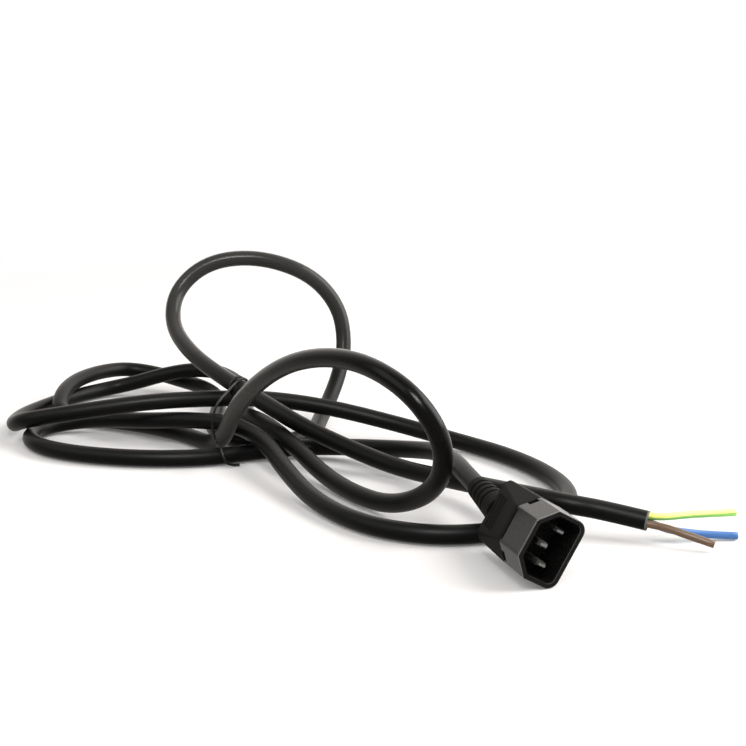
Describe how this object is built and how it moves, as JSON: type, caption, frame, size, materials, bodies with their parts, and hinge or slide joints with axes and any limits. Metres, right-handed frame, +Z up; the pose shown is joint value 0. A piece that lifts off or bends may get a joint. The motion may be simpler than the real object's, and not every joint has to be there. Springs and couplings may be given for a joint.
{
  "type": "iec power plug",
  "caption": "Black mains lead lying in a loose tied bundle, with a moulded male appliance plug at one end and stripped cores at the other.",
  "frame": {"origin": "on the floor below the middle of the plug's own box", "axes": "+Z up, -Y the way the plug mates, +Y towards the cord"},
  "size_m": [0.2744, 0.3712, 0.0877],
  "materials": {
    "shroud_plastic": "smooth satin black plastic",
    "body_rubber": "fine matte black moulding",
    "sheath_rubber": "satin black cord sheath",
    "pin_metal": "nickel plate",
    "line_insulation": "brown core insulation",
    "neutral_insulation": "blue core insulation",
    "earth_insulation": "green and yellow core insulation",
    "copper": "drawn copper strand",
    "tie_plastic": "black coated wire"
  },
  "bodies": {
    "root": {"pin_carrier": "shroud_plastic", "plug_body": "body_rubber", "cord_sheath": "sheath_rubber", "wire_tie": "tie_plastic", "line_pin": "pin_metal", "line_lead_core": "line_insulation", "line_tail_core": "line_insulation", "line_lead_copper": "copper", "line_tail_copper": "copper", "neutral_pin": "pin_metal", "neutral_lead_core": "neutral_insulation", "neutral_tail_core": "neutral_insulation", "neutral_lead_copper": "copper", "neutral_tail_copper": "copper", "earth_pin": "pin_metal", "earth_lead_core": "earth_insulation", "earth_tail_core": "earth_insulation", "earth_lead_copper": "copper", "earth_tail_copper": "copper"}
  },
  "joints": []
}
